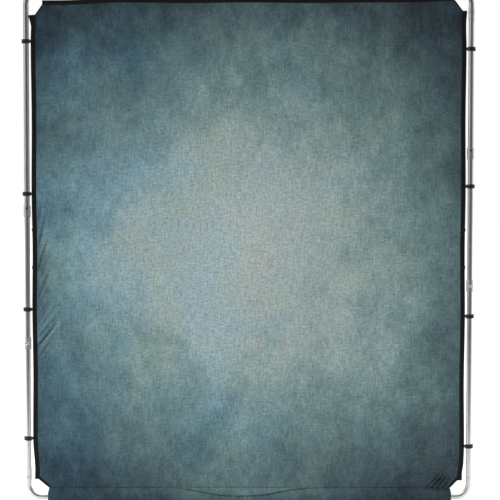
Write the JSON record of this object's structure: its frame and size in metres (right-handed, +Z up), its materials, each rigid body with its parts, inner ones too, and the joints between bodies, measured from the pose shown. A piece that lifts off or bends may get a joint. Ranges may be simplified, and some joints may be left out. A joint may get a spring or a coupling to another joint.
{
  "type": "collapsible backdrop panel",
  "caption": "Folding rectangular tube frame with a mottled cloth backdrop clipped into it, hinged side legs and a bottom flap round the lower rail.",
  "frame": {"origin": "middle of the top rail, on the tube's centreline", "axes": "+X to the right along the rails seen from the front, +Y to the back, +Z up; the printed front faces -Y"},
  "size_m": [2.015, 0.044, 2.2903],
  "materials": {
    "tube_aluminium": "bright drawn",
    "cast_aluminium": "satin",
    "steel": "satin",
    "black_plastic": "matte",
    "black_webbing": "woven",
    "black_binding": "woven",
    "printed_cloth": "mottled print on plain weave",
    "hook_loop_tape": "napped"
  },
  "bodies": {
    "top_unit": {"top_rail_left": "tube_aluminium", "top_rail_right": "tube_aluminium", "top_rail_coupler": "cast_aluminium", "top_left_elbow": "tube_aluminium", "top_right_elbow": "tube_aluminium", "left_upper_leg": "tube_aluminium", "right_upper_leg": "tube_aluminium", "left_upper_hinge_ears": "cast_aluminium", "right_upper_hinge_ears": "cast_aluminium", "upper_hinge_pins": "steel", "top_rivets": "steel", "top_springs": "steel", "fabric_panel": "printed_cloth", "border_left": "black_binding", "border_right": "black_binding", "border_top": "black_binding", "side_grips": "black_webbing", "top_unit_loops": "black_webbing"},
    "left_link": {"left_middle_leg": "tube_aluminium", "left_upper_hinge_tongue": "cast_aluminium", "left_lower_hinge_tongue": "cast_aluminium", "left_middle_loop": "black_webbing"},
    "right_link": {"right_middle_leg": "tube_aluminium", "right_upper_hinge_tongue": "cast_aluminium", "right_lower_hinge_tongue": "cast_aluminium", "right_middle_loop": "black_webbing"},
    "bottom_unit": {"bottom_rail_left": "tube_aluminium", "bottom_rail_right": "tube_aluminium", "bottom_rail_coupler": "cast_aluminium", "bottom_left_elbow": "tube_aluminium", "bottom_right_elbow": "tube_aluminium", "left_lower_leg": "tube_aluminium", "right_lower_leg": "tube_aluminium", "left_lower_hinge_ears": "cast_aluminium", "right_lower_hinge_ears": "cast_aluminium", "lower_hinge_pins": "steel", "bottom_rivets": "steel", "bottom_springs": "steel", "bottom_flap": "printed_cloth", "flap_closure_tape": "hook_loop_tape", "bottom_unit_loops": "black_webbing"},
    "lock_button_left_upper": {"lock_button_left_upper": "black_plastic"},
    "lock_button_right_upper": {"lock_button_right_upper": "black_plastic"},
    "lock_button_left_lower": {"lock_button_left_lower": "black_plastic"},
    "lock_button_right_lower": {"lock_button_right_lower": "black_plastic"},
    "snap_button_top_left": {"snap_button_top_left": "steel"},
    "snap_button_top_right": {"snap_button_top_right": "steel"},
    "snap_button_bottom_left": {"snap_button_bottom_left": "steel"},
    "snap_button_bottom_right": {"snap_button_bottom_right": "steel"},
    "clip_left_1": {"clip_left_1": "black_plastic"},
    "clip_left_2": {"clip_left_2": "black_plastic"},
    "clip_left_3": {"clip_left_3": "black_plastic"},
    "clip_left_4": {"clip_left_4": "black_plastic"},
    "clip_right_1": {"clip_right_1": "black_plastic"},
    "clip_right_2": {"clip_right_2": "black_plastic"},
    "clip_right_3": {"clip_right_3": "black_plastic"},
    "clip_right_4": {"clip_right_4": "black_plastic"},
    "clip_top_left": {"clip_top_left": "black_plastic"},
    "clip_top_middle": {"clip_top_middle": "black_plastic"},
    "clip_top_right": {"clip_top_right": "black_plastic"}
  },
  "joints": [
    {"name": "left_upper_fold", "type": "hinge", "parent": "top_unit", "child": "left_link", "pos_m": [-0.9875, 0.0165, -0.973], "axis": [1, 0, 0], "range_deg": [0, 180]},
    {"name": "left_lower_fold", "type": "hinge", "parent": "left_link", "child": "bottom_unit", "pos_m": [-0.9875, -0.0165, -1.563], "axis": [1, 0, 0], "range_deg": [-180, 0]},
    {"name": "right_upper_fold", "type": "hinge", "parent": "top_unit", "child": "right_link", "pos_m": [0.9875, 0.0165, -0.716], "axis": [1, 0, 0], "range_deg": [0, 180]},
    {"name": "left_upper_lock_press", "type": "slide", "parent": "top_unit", "child": "lock_button_left_upper", "axis": [0, 1, 0], "range_m": [0, 0.002], "stiffness_N_per_m": 600},
    {"name": "right_upper_lock_press", "type": "slide", "parent": "top_unit", "child": "lock_button_right_upper", "axis": [0, 1, 0], "range_m": [0, 0.002], "stiffness_N_per_m": 600},
    {"name": "left_lower_lock_press", "type": "slide", "parent": "bottom_unit", "child": "lock_button_left_lower", "axis": [0, -1, 0], "range_m": [0, 0.002], "stiffness_N_per_m": 600},
    {"name": "right_lower_lock_press", "type": "slide", "parent": "bottom_unit", "child": "lock_button_right_lower", "axis": [0, -1, 0], "range_m": [0, 0.002], "stiffness_N_per_m": 600},
    {"name": "top_left_snap_press", "type": "slide", "parent": "top_unit", "child": "snap_button_top_left", "axis": [0, 1, 0], "range_m": [0, 0.0026], "stiffness_N_per_m": 600},
    {"name": "top_right_snap_press", "type": "slide", "parent": "top_unit", "child": "snap_button_top_right", "axis": [0, 1, 0], "range_m": [0, 0.0026], "stiffness_N_per_m": 600},
    {"name": "bottom_left_snap_press", "type": "slide", "parent": "bottom_unit", "child": "snap_button_bottom_left", "axis": [0, 1, 0], "range_m": [0, 0.0026], "stiffness_N_per_m": 600},
    {"name": "bottom_right_snap_press", "type": "slide", "parent": "bottom_unit", "child": "snap_button_bottom_right", "axis": [0, 1, 0], "range_m": [0, 0.0026], "stiffness_N_per_m": 600},
    {"name": "clip_left_1_open", "type": "hinge", "parent": "top_unit", "child": "clip_left_1", "pos_m": [-0.972, -0.008, -0.219], "axis": [0, 0, -1], "range_deg": [-90, 0], "stiffness_Nm_per_rad": 0.02},
    {"name": "clip_left_2_open", "type": "hinge", "parent": "top_unit", "child": "clip_left_2", "pos_m": [-0.972, -0.008, -0.895], "axis": [0, 0, -1], "range_deg": [-90, 0], "stiffness_Nm_per_rad": 0.02},
    {"name": "clip_left_3_open", "type": "hinge", "parent": "left_link", "child": "clip_left_3", "pos_m": [-0.972, -0.008, -1.411], "axis": [0, 0, -1], "range_deg": [-90, 0], "stiffness_Nm_per_rad": 0.02},
    {"name": "clip_left_4_open", "type": "hinge", "parent": "bottom_unit", "child": "clip_left_4", "pos_m": [-0.972, -0.008, -1.991], "axis": [0, 0, -1], "range_deg": [-90, 0], "stiffness_Nm_per_rad": 0.02},
    {"name": "clip_right_1_open", "type": "hinge", "parent": "top_unit", "child": "clip_right_1", "pos_m": [0.972, -0.008, -0.253], "axis": [0, 0, 1], "range_deg": [-90, 0], "stiffness_Nm_per_rad": 0.02},
    {"name": "clip_right_2_open", "type": "hinge", "parent": "right_link", "child": "clip_right_2", "pos_m": [0.972, -0.008, -0.862], "axis": [0, 0, 1], "range_deg": [-90, 0], "stiffness_Nm_per_rad": 0.02},
    {"name": "clip_right_3_open", "type": "hinge", "parent": "bottom_unit", "child": "clip_right_3", "pos_m": [0.972, -0.008, -1.442], "axis": [0, 0, 1], "range_deg": [-90, 0], "stiffness_Nm_per_rad": 0.02},
    {"name": "clip_right_4_open", "type": "hinge", "parent": "bottom_unit", "child": "clip_right_4", "pos_m": [0.972, -0.008, -2.027], "axis": [0, 0, 1], "range_deg": [-90, 0], "stiffness_Nm_per_rad": 0.02},
    {"name": "clip_top_left_open", "type": "hinge", "parent": "top_unit", "child": "clip_top_left", "pos_m": [-0.56, -0.008, -0.0155], "axis": [-1, 0, 0], "range_deg": [-90, 0], "stiffness_Nm_per_rad": 0.02},
    {"name": "clip_top_middle_open", "type": "hinge", "parent": "top_unit", "child": "clip_top_middle", "pos_m": [0, -0.008, -0.0155], "axis": [-1, 0, 0], "range_deg": [-90, 0], "stiffness_Nm_per_rad": 0.02},
    {"name": "clip_top_right_open", "type": "hinge", "parent": "top_unit", "child": "clip_top_right", "pos_m": [0.56, -0.008, -0.0155], "axis": [-1, 0, 0], "range_deg": [-90, 0], "stiffness_Nm_per_rad": 0.02}
  ],
  "couplings": [
    {"joint": "left_lower_fold", "follows": "left_upper_fold", "ratio": -1},
    {"joint": "right_upper_fold", "follows": "left_upper_fold", "ratio": 1}
  ]
}
